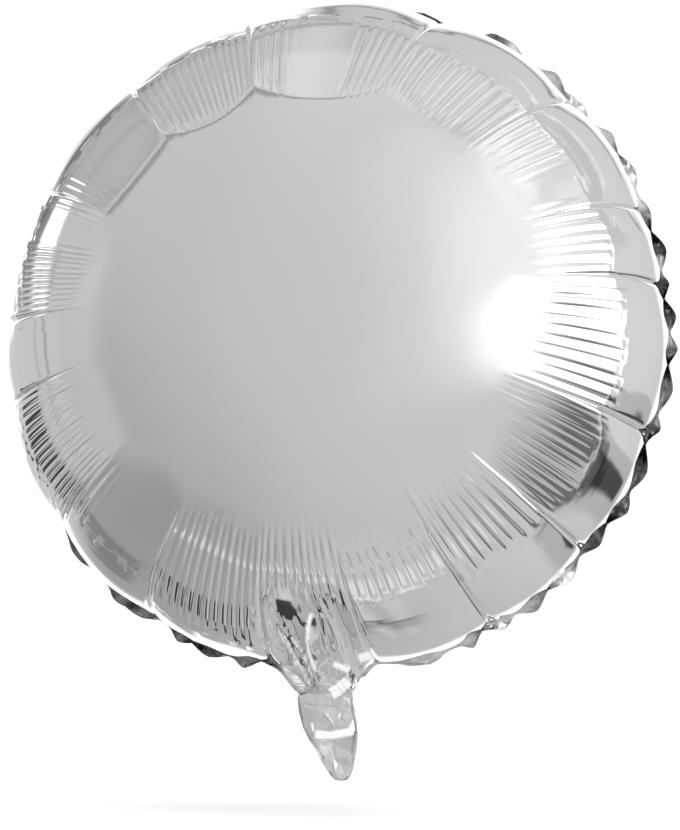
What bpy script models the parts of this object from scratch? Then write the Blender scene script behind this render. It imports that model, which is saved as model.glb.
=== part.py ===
"""Round foil balloon: two domed foil panels welded round the rim, with a filling tail that folds at its neck.

Metres, +Z up. The front panel faces -Y, and the origin is the centre of the rim's circle.
Azimuths are degrees round the Y axis, clockwise from +X as seen from the front, so the tail is at 90.
"""

import math

import bmesh
import bpy
from mathutils import Vector

# The filled envelope
RIM_RADIUS = 0.172
WALL = 0.001
TOUCH_GAP = 0.0003
DOME_ROWS = (0, 6, 12, 20, 29, 39, 49, 59, 68, 76, 83, 90)

# The deep creases that run in from the rim, and the puffed facet between each two
CREASES = (18, 40, 60, 81, 99, 121, 142.5, 166, 180.5, 206, 231, 256.5, 289.5, 316.5, 339, 352.5)
CREASE_HALF_ANGLE = 2.0
CREASE_DEPTH = 0.003
FACET_SWELL = 0.0028
COMMON_FACET = 22.0
FACET_COLUMN_STEP = 4.5
CREASE_STARTS = 35.0
CREASE_FULL = 80.0

# The welded margin round the rim, which curls to the front and the back in turn
MARGIN_WIDTH = 0.006
MARGIN_INSIDE = 0.004
MARGIN_FLAT = 0.0006
MARGIN_THICKNESS = 0.001
MARGIN_WAVES = 27
MARGIN_TILT = math.radians(50)

# The neck, where the envelope narrows into the tail
TAIL_AZIMUTH = 90.0
NECK_LENGTH = 0.0135
NECK_END_ANGLE = 3.7
NECK_ROOT_ANGLE = 8.8
NECK_MARGIN_ANGLE = 1.6
NECK_MARGIN_END = 0.001
NECK_FLATNESS = 0.72
NECK_COLUMN_STEP = 1.2

# The flat tail under the neck
WELD_DEPTH = 0.0030
WELD_FLATNESS = 0.6
FOIL_LAYER = 0.0008
VALVE_THICKNESS = 0.0004
TAIL_TOP = -(RIM_RADIUS + NECK_LENGTH + NECK_MARGIN_END + TOUCH_GAP)
FOLD_HEIGHT = TAIL_TOP - WELD_DEPTH / 2
LEFT_EDGE = ((-0.0138, -0.1952), (-0.0116, -0.2030), (-0.0068, -0.2112), (-0.0020, -0.2195), (0.0026, -0.2258))
RIGHT_EDGE = ((0.0159, -0.1952), (0.0173, -0.2025), (0.0173, -0.2075), (0.0166, -0.2163), (0.0146, -0.2250))
EDGE_TOP_LEFT = (-0.0140, FOLD_HEIGHT)
EDGE_TOP_RIGHT = (0.0144, FOLD_HEIGHT)
TIP = (0.0085, -0.2297)
SLIT_CENTRE = (-0.0020, -0.1950)
SLIT_LENGTH = 0.0080
SLIT_HEIGHT = 0.0010
VALVE_SIDES = (-0.0082, 0.0112)
VALVE_FOOT = -0.2020

SILVER = (0.80, 0.80, 0.81, 1.0)
SILVER_BACK = (0.76, 0.76, 0.78, 1.0)
WELD_SILVER = (0.70, 0.70, 0.72, 1.0)
CLEAR_FILM = (0.88, 0.90, 0.92, 1.0)


def clear_scene():
    """Remove whatever the file holds, so that only the balloon is left."""
    for old in list(bpy.data.objects):
        bpy.data.objects.remove(old, do_unlink=True)


def smooth(x):
    """0 below 0, 1 above 1, and an even curve between."""
    x = min(max(x, 0.0), 1.0)
    return x * x * (3 - 2 * x)


def finish(name, colour, roughness, metallic):
    """A material with the colour and shine of one film."""
    material = bpy.data.materials.new(name)
    material.use_nodes = True
    shader = material.node_tree.nodes["Principled BSDF"]
    shader.inputs["Base Color"].default_value = colour
    shader.inputs["Roughness"].default_value = roughness
    shader.inputs["Metallic"].default_value = metallic
    return material


# Facets


def facet_of(azimuth):
    """The two creases on each side of an azimuth, as degrees that rise."""
    turned = (azimuth - CREASES[0]) % 360 + CREASES[0]
    edges = CREASES + (CREASES[0] + 360,)
    for low, high in zip(edges, edges[1:]):
        if low <= turned < high:
            return low, high, turned
    return edges[-2], edges[-1], turned


def puff(azimuth, normal_angle):
    """How far the foil stands out from the plain lens: swollen in each facet, sunk at each crease."""
    low, high, turned = facet_of(azimuth)
    across = (2 * turned - low - high) / (high - low)
    from_crease = min(turned - low, high - turned)
    sunk = max(0.0, 1 - from_crease / CREASE_HALF_ANGLE)
    swell = FACET_SWELL * (high - low) / COMMON_FACET * (1 - across * across)
    share = smooth((normal_angle - CREASE_STARTS) / (CREASE_FULL - CREASE_STARTS))
    return share * (swell - CREASE_DEPTH * sunk)


def neck_share(azimuth, widened=0.0):
    """1 inside the neck, 0 away from it."""
    away = abs(azimuth - TAIL_AZIMUTH)
    return smooth((NECK_ROOT_ANGLE + widened - away) / (NECK_ROOT_ANGLE - NECK_END_ANGLE))


def panel_azimuths():
    """The columns of a panel: each crease with its two shoulders, and finer ones across the neck."""
    edges = CREASES + (CREASES[0] + 360,)
    columns = []
    for low, high in zip(edges, edges[1:]):
        width = high - low
        if low < TAIL_AZIMUTH < high:
            count = round(width / NECK_COLUMN_STEP)
            columns += [low + width * k / count for k in range(count)]
            continue
        inner = width - 2 * CREASE_HALF_ANGLE
        count = max(2, round(inner / FACET_COLUMN_STEP))
        columns += [low] + [low + CREASE_HALF_ANGLE + inner * k / count for k in range(count + 1)]
    return columns


def rim_radius(azimuth):
    """Radius of the panels' edge: the puffed rim, drawn out to a straight end at the neck."""
    share = neck_share(azimuth)
    neck = (RIM_RADIUS + NECK_LENGTH) / math.cos(math.radians(azimuth - TAIL_AZIMUTH))
    return (RIM_RADIUS + puff(azimuth, 90)) * (1 - share) + neck * share


# The filled lens: a disc that can't stretch takes the shape in which sin(normal angle) = (radius / rim)^2


def lens_height(normal_angle):
    """Height of the lens over its rim plane, by the midpoint rule on R/2 * sqrt(sin)."""
    steps = 60
    start = math.radians(normal_angle)
    width = (math.pi / 2 - start) / steps
    return RIM_RADIUS / 2 * sum(math.sqrt(math.sin(start + (k + 0.5) * width)) for k in range(steps)) * width


def panel_point(azimuth, normal_angle, height):
    """A point on the front panel's outer face."""
    tilt = math.radians(normal_angle)
    stand = puff(azimuth, normal_angle)
    drawn = (rim_radius(azimuth) - RIM_RADIUS - puff(azimuth, 90)) * smooth((normal_angle - 50) / 40)
    radius = RIM_RADIUS * math.sqrt(math.sin(tilt)) + stand * math.sin(tilt) + drawn
    pinch = neck_share(azimuth, 2.0) * smooth((normal_angle - 35) / 45)
    depth = (height + stand * math.cos(tilt)) * (1 - NECK_FLATNESS * pinch)
    depth += MARGIN_THICKNESS / 2 + TOUCH_GAP + WALL * pinch
    around = math.radians(azimuth)
    return Vector((radius * math.cos(around), -depth, -radius * math.sin(around)))


def margin_point(azimuth, station):
    """A point on the middle surface of the margin: station 0 inside the weld, 1 on it, 2 at the free edge."""
    neck = neck_share(azimuth, NECK_MARGIN_ANGLE)
    tilt = MARGIN_TILT * (1 - neck) * math.sin(math.radians(azimuth) * MARGIN_WAVES)
    width = (MARGIN_WIDTH - MARGIN_FLAT) * (1 - neck) + (NECK_MARGIN_END - MARGIN_FLAT) * neck
    radius = rim_radius(azimuth) + (-MARGIN_INSIDE, MARGIN_FLAT, MARGIN_FLAT + width * math.cos(tilt))[station]
    depth = (0.0, 0.0, width * math.sin(tilt))[station]
    around = math.radians(azimuth)
    return Vector((radius * math.cos(around), depth, -radius * math.sin(around)))


def wrapped_grid(name, columns, rows, place):
    """A grid primitive wrapped into a closed band: place(column, row) says where each of its points goes."""
    shape = bmesh.new()
    bmesh.ops.create_grid(shape, x_segments=columns, y_segments=rows - 1, size=1)
    for point in shape.verts:
        column = round((point.co.x + 1) / 2 * columns) % columns
        row = round((point.co.y + 1) / 2 * (rows - 1))
        point.co = place(column, row)
    bmesh.ops.remove_doubles(shape, verts=shape.verts, dist=1e-6)
    mesh = bpy.data.meshes.new(name)
    shape.to_mesh(mesh)
    shape.free()
    mesh.shade_smooth()
    return mesh


def thicken(item, thickness, offset):
    """Give an open surface its wall. Offset -1 keeps the surface as the outer face."""
    wall = item.modifiers.new("wall", "SOLIDIFY")
    wall.thickness = thickness
    wall.offset = offset


def add_object(name, data, material, collection):
    item = bpy.data.objects.new(name, data)
    data.materials.append(material)
    collection.objects.link(item)
    return item


def make_panel(name, side, material, collection):
    """One domed panel: side 1 is the front, -1 the back."""
    azimuths = panel_azimuths()
    heights = [lens_height(angle) for angle in DOME_ROWS]

    def place(column, row):
        point = panel_point(azimuths[column], DOME_ROWS[row], heights[row])
        return Vector((point.x, point.y * side, point.z))

    mesh = wrapped_grid(name, len(azimuths), len(DOME_ROWS), place)
    if side < 0:
        mesh.flip_normals()
    item = add_object(name, mesh, material, collection)
    thicken(item, WALL, -1)
    return item


def make_margin(material, collection):
    """The welded margin, one waved ring between the two panels' rims, on their columns and halfway between."""
    azimuths = panel_azimuths()
    columns = len(azimuths)

    def place(column, row):
        low = azimuths[column // 2]
        high = azimuths[(column // 2 + 1) % columns]
        if column % 2 == 0:
            return margin_point(low, row)
        if row < 2:
            return (margin_point(low, row) + margin_point(high, row)) / 2
        return margin_point(low + (high - low) % 360 / 2, row)

    mesh = wrapped_grid("rim_weld_margin", columns * 2, 3, place)
    item = add_object("rim_weld_margin", mesh, material, collection)
    thicken(item, MARGIN_THICKNESS, 0)
    return item


# The tail


def flat_outline(points, thickness, depth):
    """A 2D curve through points (x, z), filled and given its thickness, standing in the plane y = depth."""
    curve = bpy.data.curves.new("outline", "CURVE")
    curve.dimensions = "2D"
    curve.fill_mode = "BOTH"
    curve.extrude = thickness / 2
    spline = curve.splines.new("POLY")
    spline.points.add(len(points) - 1)
    for place, (x, z) in zip(spline.points, points):
        place.co = (x, z, 0, 1)
    spline.use_cyclic_u = True
    item = bpy.data.objects.new("outline", curve)
    item.rotation_euler = (math.pi / 2, 0, 0)
    item.location = (0, depth, 0)
    return item


def solid_copy(name, curve_item, material, collection):
    """Make a curve object into a closed mesh object in the same place."""
    bpy.context.scene.collection.objects.link(curve_item)
    bpy.context.view_layer.update()
    evaluated = curve_item.evaluated_get(bpy.context.evaluated_depsgraph_get())
    mesh = bpy.data.meshes.new_from_object(evaluated)
    shape = bmesh.new()
    shape.from_mesh(mesh)
    bmesh.ops.remove_doubles(shape, verts=shape.verts, dist=1e-6)
    bmesh.ops.recalc_face_normals(shape, faces=shape.faces)
    shape.to_mesh(mesh)
    shape.free()
    mesh.materials.clear()
    item = add_object(name, mesh, material, collection)
    item.matrix_world = curve_item.matrix_world.copy()
    bpy.data.objects.remove(curve_item, do_unlink=True)
    return item


def inset(points, amount, centre_x):
    """The same edge, moved towards the middle of the tail."""
    return [(x + math.copysign(amount, centre_x - x), z) for x, z in points]


def make_tail_weld(material, collection):
    """The welded sides of the tail and the fold at its top, one flattened bead from tip to tip."""
    half = WELD_DEPTH / 2
    middle = (EDGE_TOP_LEFT[0] + EDGE_TOP_RIGHT[0]) / 2
    left = inset(LEFT_EDGE, half, TIP[0])
    right = inset(RIGHT_EDGE, half, middle)
    path = left[::-1] + [EDGE_TOP_LEFT, EDGE_TOP_RIGHT] + right
    curve = bpy.data.curves.new("bead", "CURVE")
    curve.dimensions = "3D"
    curve.bevel_depth = half
    curve.bevel_resolution = 2
    curve.use_fill_caps = True
    spline = curve.splines.new("POLY")
    spline.points.add(len(path) - 1)
    for place, (x, z) in zip(spline.points, path):
        place.co = (x, 0, z, 1)
    bead = bpy.data.objects.new("bead", curve)
    bead.scale = (1, WELD_FLATNESS, 1)
    return solid_copy("tail_weld", bead, material, collection)


def layer_outline():
    """The foil inside the bead, open at the tip where the filling straw goes in."""
    clear = WELD_DEPTH + TOUCH_GAP
    middle = (EDGE_TOP_LEFT[0] + EDGE_TOP_RIGHT[0]) / 2
    top = FOLD_HEIGHT - WELD_DEPTH / 2 - TOUCH_GAP
    left = inset(LEFT_EDGE, clear, TIP[0])
    right = inset(RIGHT_EDGE, clear, middle)
    head = [(EDGE_TOP_LEFT[0] + WELD_DEPTH / 2 + TOUCH_GAP, top)]
    foot = [(EDGE_TOP_RIGHT[0] - WELD_DEPTH / 2 - TOUCH_GAP, top)]
    return head + left + [TIP] + right[::-1] + foot


def make_tail_layer(name, side, material, collection):
    """One flat foil layer of the tail: side 1 is the front, which has the filling slit."""
    depth = -side * (VALVE_THICKNESS / 2 + TOUCH_GAP + FOIL_LAYER / 2)
    item = solid_copy(name, flat_outline(layer_outline(), FOIL_LAYER, depth), material, collection)
    if side > 0:
        bpy.ops.mesh.primitive_cube_add(size=1, location=(SLIT_CENTRE[0], depth, SLIT_CENTRE[1]))
        cutter = bpy.context.object
        cutter.name = "slit_cutter"
        cutter.scale = (SLIT_LENGTH, FOIL_LAYER * 3, SLIT_HEIGHT)
        cutter.hide_render = True
        cutter.display_type = "WIRE"
        cut = item.modifiers.new("slit", "BOOLEAN")
        cut.operation = "DIFFERENCE"
        cut.object = cutter
    return item


def make_valve_film(material, collection):
    """The flat valve sleeve between the two layers, seen through the slit."""
    top = FOLD_HEIGHT - WELD_DEPTH / 2 - TOUCH_GAP
    low, high = VALVE_SIDES
    points = [(low, top), (low, VALVE_FOOT), (high, VALVE_FOOT), (high, top)]
    return solid_copy("valve_film", flat_outline(points, VALVE_THICKNESS, 0.0), material, collection)


def main():
    clear_scene()
    parts = bpy.data.collections.new("foil_balloon")
    bpy.context.scene.collection.children.link(parts)
    front = finish("front_foil", SILVER, 0.12, 1.0)
    back = finish("back_foil", SILVER_BACK, 0.12, 1.0)
    weld = finish("weld_foil", WELD_SILVER, 0.3, 1.0)
    clear = finish("valve_plastic", CLEAR_FILM, 0.35, 0.0)
    make_panel("front_panel", 1, front, parts)
    make_panel("back_panel", -1, back, parts)
    make_margin(weld, parts)
    make_tail_weld(weld, parts)
    make_tail_layer("tail_front_layer", 1, front, parts)
    make_tail_layer("tail_back_layer", -1, back, parts)
    make_valve_film(clear, parts)


main()
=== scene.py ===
# %% [markdown]
# # A filled foil balloon
#
# A foil balloon is two flat discs of shiny film, welded together round their edge. Film can't stretch,
# so when gas pushes the discs apart their edge has to shrink, and the film that is left over gathers
# in folds. All of this balloon's looks come from that: the smooth dome, the ripples round it, the deep
# creases, and the waved margin. This script dresses the balloon's plain solids with that detail.

# %% Load the balloon's frame
import math
import bmesh
import bpy
import numpy as np
from mathutils import Matrix, Vector
from mathutils.bvhtree import BVHTree
from mathutils.geometry import delaunay_2d_cdt


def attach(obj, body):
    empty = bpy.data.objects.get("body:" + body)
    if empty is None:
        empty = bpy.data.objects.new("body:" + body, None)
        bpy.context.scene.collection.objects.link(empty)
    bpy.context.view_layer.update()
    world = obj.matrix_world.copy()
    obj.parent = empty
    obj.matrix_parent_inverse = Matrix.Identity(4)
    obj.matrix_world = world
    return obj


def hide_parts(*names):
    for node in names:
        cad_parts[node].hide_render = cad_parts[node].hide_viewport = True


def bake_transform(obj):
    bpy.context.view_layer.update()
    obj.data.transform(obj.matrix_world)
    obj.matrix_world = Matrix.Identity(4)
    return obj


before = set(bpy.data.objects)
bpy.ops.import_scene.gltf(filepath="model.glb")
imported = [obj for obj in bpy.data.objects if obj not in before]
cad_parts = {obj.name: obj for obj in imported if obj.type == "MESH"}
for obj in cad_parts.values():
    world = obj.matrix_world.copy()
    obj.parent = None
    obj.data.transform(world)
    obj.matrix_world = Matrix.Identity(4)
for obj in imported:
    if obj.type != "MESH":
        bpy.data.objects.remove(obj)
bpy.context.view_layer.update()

# %% [markdown]
# ## The camera
#
# The picture was taken a little from the right and from below, so the balloon's margin shows on the
# right and at the bottom only. How flat the balloon looks, and how far round its side one sees, depend on
# the camera's distance alone. The lens only decides how large it looks, so the distance was found first.

# %% The camera
IMAGE_WIDTH = 680
IMAGE_HEIGHT = 830
CAMERA_AZIMUTH = math.radians(9.8)
CAMERA_ELEVATION = math.radians(-8.85)
CAMERA_ROLL = math.radians(1.0)
CAMERA_DISTANCE = 1.3
FOCAL_PIXELS = 2490
SENSOR_WIDTH = 36
CENTRE_IN_PICTURE = (331.4, 334.8)


def add_object(name, data):
    """A new object at the scene's origin, unturned."""
    item = bpy.data.objects.new(name, data)
    bpy.context.scene.collection.objects.link(item)
    return item


def add_camera():
    """Aim at the balloon's centre, then turn until that centre sits where it does in the picture."""
    back = Vector((
        math.sin(CAMERA_AZIMUTH) * math.cos(CAMERA_ELEVATION),
        -math.cos(CAMERA_AZIMUTH) * math.cos(CAMERA_ELEVATION),
        math.sin(CAMERA_ELEVATION),
    ))
    camera = add_object("camera", bpy.data.cameras.new("camera"))
    camera.data.sensor_width = SENSOR_WIDTH
    camera.data.lens = FOCAL_PIXELS * SENSOR_WIDTH / IMAGE_HEIGHT
    camera.location = back * CAMERA_DISTANCE
    turn = back.to_track_quat("Z", "Y").to_matrix().to_4x4()
    right, up = turn.col[0].xyz, turn.col[1].xyz
    across = (IMAGE_WIDTH / 2 - CENTRE_IN_PICTURE[0]) / FOCAL_PIXELS
    down = (IMAGE_HEIGHT / 2 - CENTRE_IN_PICTURE[1]) / FOCAL_PIXELS
    rolled_right = right * math.cos(CAMERA_ROLL) + up * math.sin(CAMERA_ROLL)
    rolled_up = up * math.cos(CAMERA_ROLL) - right * math.sin(CAMERA_ROLL)
    away = (back - rolled_right * across + rolled_up * down).normalized()
    side = rolled_up.cross(away).normalized()
    top = away.cross(side)
    camera.rotation_euler = Matrix((side, top, away)).transposed().to_euler()
    bpy.context.scene.camera = camera
    return camera


camera = add_camera()
print(f"camera {camera.location.length:.2f} m away, {camera.location.z:.3f} m from the centre's height")

# %% [markdown]
# ## Arithmetic that builds nodes
#
# In Geometry Nodes and in a shader a formula is made of Math nodes, and a long one takes dozens of them.
# They could be added one by one, but then nobody can read the formula. So `Field` stands for a socket,
# and adding, multiplying or comparing fields adds the nodes. The formula stays a line of arithmetic.


# %% A field of numbers
class Field:
    """A number that may differ at each point. Arithmetic on it adds Math nodes to its tree."""

    def __init__(self, tree, socket):
        self.tree = tree
        self.socket = socket

    def __rsub__(self, other):
        return calculate(self.tree, "SUBTRACT", other, self)

    def __neg__(self):
        return self * -1

    def rise(self, start, end):
        """0 below start, 1 above end, and a smooth step between."""
        slots = {"Value": self, "From Min": start, "From Max": end}
        return Field(self.tree, add_node(
            self.tree, "ShaderNodeMapRange", "Result", slots, interpolation_type="SMOOTHSTEP"))


def plug(tree, slot, value):
    """Link a field or another node's output to a socket, or set the socket to a plain value."""
    if isinstance(value, Field):
        value = value.socket
    if isinstance(value, bpy.types.NodeSocket):
        tree.links.new(value, slot)
    else:
        slot.default_value = value


def add_node(tree, kind, output, inputs, **settings):
    """Add a node, make its settings, plug its inputs, and give one of its outputs."""
    node = tree.nodes.new(kind)
    for name, value in settings.items():
        setattr(node, name, value)
    for name, value in inputs.items():
        plug(tree, node.inputs[name], value)
    return node.outputs[output]


def calculate(tree, operation, *values):
    """One Math node, as a field."""
    slots = dict(enumerate(values))
    return Field(tree, add_node(tree, "ShaderNodeMath", 0, slots, operation=operation))


# %% The field's arithmetic
OPERATIONS = {
    "__add__": "ADD", "__radd__": "ADD", "__sub__": "SUBTRACT", "__mul__": "MULTIPLY",
    "__rmul__": "MULTIPLY", "__truediv__": "DIVIDE", "__pow__": "POWER", "sine": "SINE",
    "cosine": "COSINE", "size": "ABSOLUTE", "whole": "FLOOR", "at_least": "MAXIMUM", "at_most": "MINIMUM",
}


def method_for(operation):
    """A method that gives the field, and the numbers that come with it, to a Math node."""
    return lambda field, *others: calculate(field.tree, operation, field, *others)


for method, operation in OPERATIONS.items():
    setattr(Field, method, method_for(operation))
print(len(OPERATIONS), "methods given to fields")

# %% [markdown]
# ## The shape of a filled disc
#
# Which curve does a filled foil disc take, seen from the side? The film can't stretch along the way from
# the centre to the rim, but it can gather round the way. The answer is an old result: where the surface
# has turned by an angle from flat, the sine of the angle is the square of the radius over the rim's radius.
# The height over the rim is then a sum along that curve. A sphere or an ellipse is close, but it would
# put the reflections in other places, and on a mirror that shows.

# %% The meridian
# metres, degrees and numbers of rows: the smooth middle needs fewer rows than the rippled part
RIM_RADIUS = 0.172
MIDDLE_ROWS = 9
MIDDLE_SLOPE = 20
PANEL_ROWS = 102
CURVE_STEPS = 20001


def meridian_rows():
    """Slope angle, radius, height and share of the rim's radius, from the centre to the rim."""
    middle = np.linspace(0, MIDDLE_SLOPE, MIDDLE_ROWS, endpoint=False)
    outer = np.linspace(MIDDLE_SLOPE, 90, PANEL_ROWS - MIDDLE_ROWS)
    slopes = np.radians(np.concatenate([middle, outer])).tolist()
    fine = np.linspace(0, math.pi / 2, CURVE_STEPS)
    pace = np.sqrt(np.sin(fine)) * RIM_RADIUS / 2
    climb = np.concatenate([[0], np.cumsum((pace[1:] + pace[:-1]) / 2 * np.diff(fine))])
    return {
        "slope": slopes,
        "radius": [RIM_RADIUS * math.sqrt(math.sin(slope)) for slope in slopes],
        "height": [float(climb[-1] - np.interp(slope, fine, climb)) for slope in slopes],
        "share": [math.sqrt(math.sin(slope)) for slope in slopes],
    }


rows = meridian_rows()
print(f"filled: {2 * RIM_RADIUS * 1000:.0f} mm across, {2 * rows['height'][0] * 1000:.0f} mm deep")

# %% [markdown]
# ## Creases, facets and ripples
#
# The weld round the edge is stiff. It folds at a few places only, and each fold is a deep crease that runs
# towards the centre. Between two creases the film puffs out into a facet. A little further in, the weld no
# longer holds the film, and what is left over gathers in fine ripples, all about as wide as each other. They
# fade out where the dome has no film left over.
#
# No two facets are alike, so each one has a line of its own: where its first crease is, how strong its
# ripples are, and where they begin and end on the way from the centre to the rim. At the top and the left
# the film bends down in one sharp shoulder where the ripples begin. Some parts of a facet have no ripples.

# %% The facets
# where a ripple's columns stand, from 0 to 1 across it, and how closely they crowd at a crease
RIPPLE_STATIONS = (0, 0.15, 0.38, 0.62, 0.85)
CREASE_CROWDING = 1.8
# swell and flatness in metres, for a facet that is COMMON_FACET degrees wide, metres of ripple height for
# each degree of a ripple's width, and the degrees over which the ripples fade beside a smooth part
COMMON_FACET = 22.0
FACET_SWELL = 0.0028
FACET_FLATNESS = 0.0010
RIPPLE_SLOPE = 0.00022
SMOOTH_FADE = 3

# for each facet: first crease in degrees, width of a ripple in degrees, strength of the ripples, share of
# the radius where they begin, how far that line sags in the middle, share where they end, shoulder in degrees
FACETS = (
    (18, 1.6, 0.30, 0.62, 0.00, 0.90, 0.0),
    (40, 2.2, 1.25, 0.61, 0.00, 0.88, 0.0),
    (60, 2.0, 1.10, 0.70, 0.00, 0.84, 0.0),
    (81, 1.8, 1.20, 0.63, 0.00, 0.94, 0.0),
    (99, 1.7, 1.20, 0.64, 0.00, 0.95, 0.0),
    (121, 2.0, 0.80, 0.70, 0.00, 0.90, 0.0),
    (142.5, 1.4, 0.90, 0.69, 0.00, 0.935, 0.0),
    (166, 2.0, 0.70, 0.72, 0.00, 0.90, 0.0),
    (180.5, 1.3, 1.10, 0.635, 0.01, 0.89, 3.0),
    (206, 1.9, 0.90, 0.645, 0.015, 0.86, 8.0),
    (231, 1.6, 1.00, 0.665, 0.07, 0.88, 8.0),
    (256.5, 1.8, 1.00, 0.670, 0.07, 0.90, 7.0),
    (289.5, 2.2, 0.55, 0.665, 0.02, 0.86, 3.0),
    (316.5, 2.0, 0.92, 0.68, 0.00, 0.86, 0.0),
    (339, 2.1, 0.95, 0.68, 0.00, 0.885, 0.0),
    (352.5, 2.4, 1.00, 0.66, 0.00, 0.905, 0.0),
)
FACET_STARTS = [facet[0] for facet in FACETS] + [FACETS[0][0] + 360]
# azimuths between which a facet is smooth
SMOOTH_PARTS = ((122.5, 137), (167, 176), (196.5, 202), (214, 227), (266, 278), (330, 336.5))
print(len(FACETS), "facets, the widest", np.diff(FACET_STARTS).max(), "degrees")

# %% [markdown]
# ## The neck
#
# At the bottom both discs run out into a tail, through which the balloon was filled. Between the round
# envelope and the flat tail lies the neck, a short funnel. The same formula makes it: near the tail's
# azimuth, the rim is drawn out to a straight end and the panels are pressed nearly flat. Azimuths run
# clockwise as seen from the front, from 0 at the right to 90 at the bottom.

# %% The neck's reach
TAIL_AZIMUTH = 90.0
NECK_LENGTH = 0.0135
NECK_END_ANGLE = 3.7
NECK_ROOT_ANGLE = 8.8
# on the right the neck falls off in two steps: the share, where it ends and over how many degrees
NECK_STEPS = ((0.4, 4.9, 0.6), (0.6, 8.2, 4.2))


def smooth(x):
    """From 0 to 1 in a smooth step, as a field's rise goes."""
    x = min(max(x, 0.0), 1.0)
    return x * x * (3 - 2 * x)


def neck_share(azimuth, widened=0.0):
    """1 inside the neck, 0 away from it. Its right side is steeper than its left side."""
    away = abs(azimuth - TAIL_AZIMUTH)
    if azimuth > TAIL_AZIMUTH:
        return smooth((NECK_ROOT_ANGLE + widened - away) / (NECK_ROOT_ANGLE - NECK_END_ANGLE))
    return sum(part * smooth((end + widened - away) / fade) for part, end, fade in NECK_STEPS)


def neck_draw(azimuth, swell):
    """How far the rim is drawn out, towards a straight line under the envelope."""
    away = math.cos(math.radians(azimuth - TAIL_AZIMUTH))
    if neck_share(azimuth) == 0:
        return 0.0
    return neck_share(azimuth) * ((RIM_RADIUS + NECK_LENGTH) / away - RIM_RADIUS - swell)


print(f"neck: {2000 * RIM_RADIUS * math.tan(math.radians(NECK_ROOT_ANGLE)):.0f} mm wide at its root")

# %% [markdown]
# ## Two guides
#
# The panel is a grid whose columns run from the centre to the rim. What changes round the way is kept on
# a ring of points, and what changes from the centre out on a second row of points. Geometry Nodes then
# reads both guides by number. That keeps the tree short, and the plain loops here stay easy to change.


# %% A guide's points
def rippled_share(azimuth):
    """0 where a facet is smooth and 1 where it is rippled."""
    outside = [max(low - azimuth % 360, azimuth % 360 - high) for low, high in SMOOTH_PARTS]
    return smooth(min(outside) / SMOOTH_FADE)


def calm_share(azimuth):
    """How far the neck's film smooths its ripples out again. It does so in the middle and at the left."""
    return 0.95 * neck_share(azimuth, 1.6) * smooth((azimuth - 86) / 4)


def set_numbers(mesh, name, numbers):
    """Keep a number on each point of a mesh."""
    mesh.attributes.new(name, "FLOAT", "POINT").data.foreach_set("value", numbers)


def add_guide(name, values):
    """A line of points that holds one list of numbers under each name."""
    mesh = bpy.data.meshes.new(name)
    count = len(next(iter(values.values())))
    mesh.vertices.add(count)
    for key, numbers in values.items():
        set_numbers(mesh, key, numbers)
    guide = add_object(name, mesh)
    guide.hide_render = True
    return guide


def keep(values, column):
    """Add one column's numbers to the lists of a guide."""
    for key, number in column.items():
        values.setdefault(key, []).append(number)


def ring_columns(seed):
    """What each column of a panel needs to know, facet by facet and ripple by ripple."""
    chance = np.random.RandomState(seed)
    values = {}
    crease_starts = chance.uniform(0.60, 0.72, len(FACETS))
    for index, (low, pitch, strength, inner, sag, outer, shoulder) in enumerate(FACETS):
        width = FACET_STARTS[index + 1] - low
        ripples = round(width / pitch)
        ripple_ends = np.concatenate([[0], np.cumsum(chance.uniform(0.80, 1.20, ripples))])
        ripple_ends /= ripple_ends[-1]
        facet_phase = chance.uniform(0, 2 * math.pi)
        for ripple in range(ripples):
            height = RIPPLE_SLOPE * width / ripples * strength * chance.uniform(0.75, 1.20)
            middle = ripple_ends[ripple:ripple + 2].mean() * 2 - 1
            height *= rippled_share(low + width * (1 + middle) / 2)
            begin = inner - sag * (1 - middle * middle) + chance.uniform(-0.015, 0.015)
            end = outer + chance.uniform(-0.010, 0.010)
            for part in RIPPLE_STATIONS:
                if ripple == 0:
                    part = part ** CREASE_CROWDING
                if ripple == ripples - 1:
                    part = 1 - (1 - part) ** CREASE_CROWDING
                place = ripple_ends[ripple] + (ripple_ends[ripple + 1] - ripple_ends[ripple]) * part
                azimuth = low + width * place
                across = 2 * place - 1
                swell = FACET_SWELL * width / COMMON_FACET
                nearest = index if place < 0.5 else (index + 1) % len(FACETS)
                keep(values, {
                    "azimuth": math.radians(azimuth),
                    "across": across,
                    "swell": swell,
                    "ripple": part,
                    "ripple_height": height,
                    "strength": strength,
                    "calm": calm_share(azimuth),
                    "flat": FACET_FLATNESS * (width / COMMON_FACET) ** 2,
                    "shoulder": math.radians(shoulder),
                    "shoulder_start": inner - sag * (1 - across * across),
                    "ripple_start": begin,
                    "ripple_end": end,
                    "crease_gap": min(place, 1 - place) * width,
                    "crease_start": crease_starts[nearest],
                    "phase": facet_phase,
                    "neck_wide": neck_share(azimuth, 2.0),
                    "drawn": neck_draw(azimuth, swell * (1 - across ** 2)),
                })
    return values


print(len(ring_columns(seed=7)["azimuth"]), "columns and", PANEL_ROWS, "rows")

# %% [markdown]
# ## The panel's tree
#
# A grid comes first. Each of its points reads its own column and row from the two guides, and the formula
# puts it in place: along the plain curve, then out by the facet's swell and the ripples, and in at a
# crease. A ripple is a broad ridge between two narrow valleys, because gas pushes the film out everywhere
# and only the valleys hold it back. A sine wave would have ridges as sharp as its valleys. The formula also
# pulls a facet a little flat in its middle. Towards the right of the balloon it lowers the two outer
# corners of a facet too, where its creases end.

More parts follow.
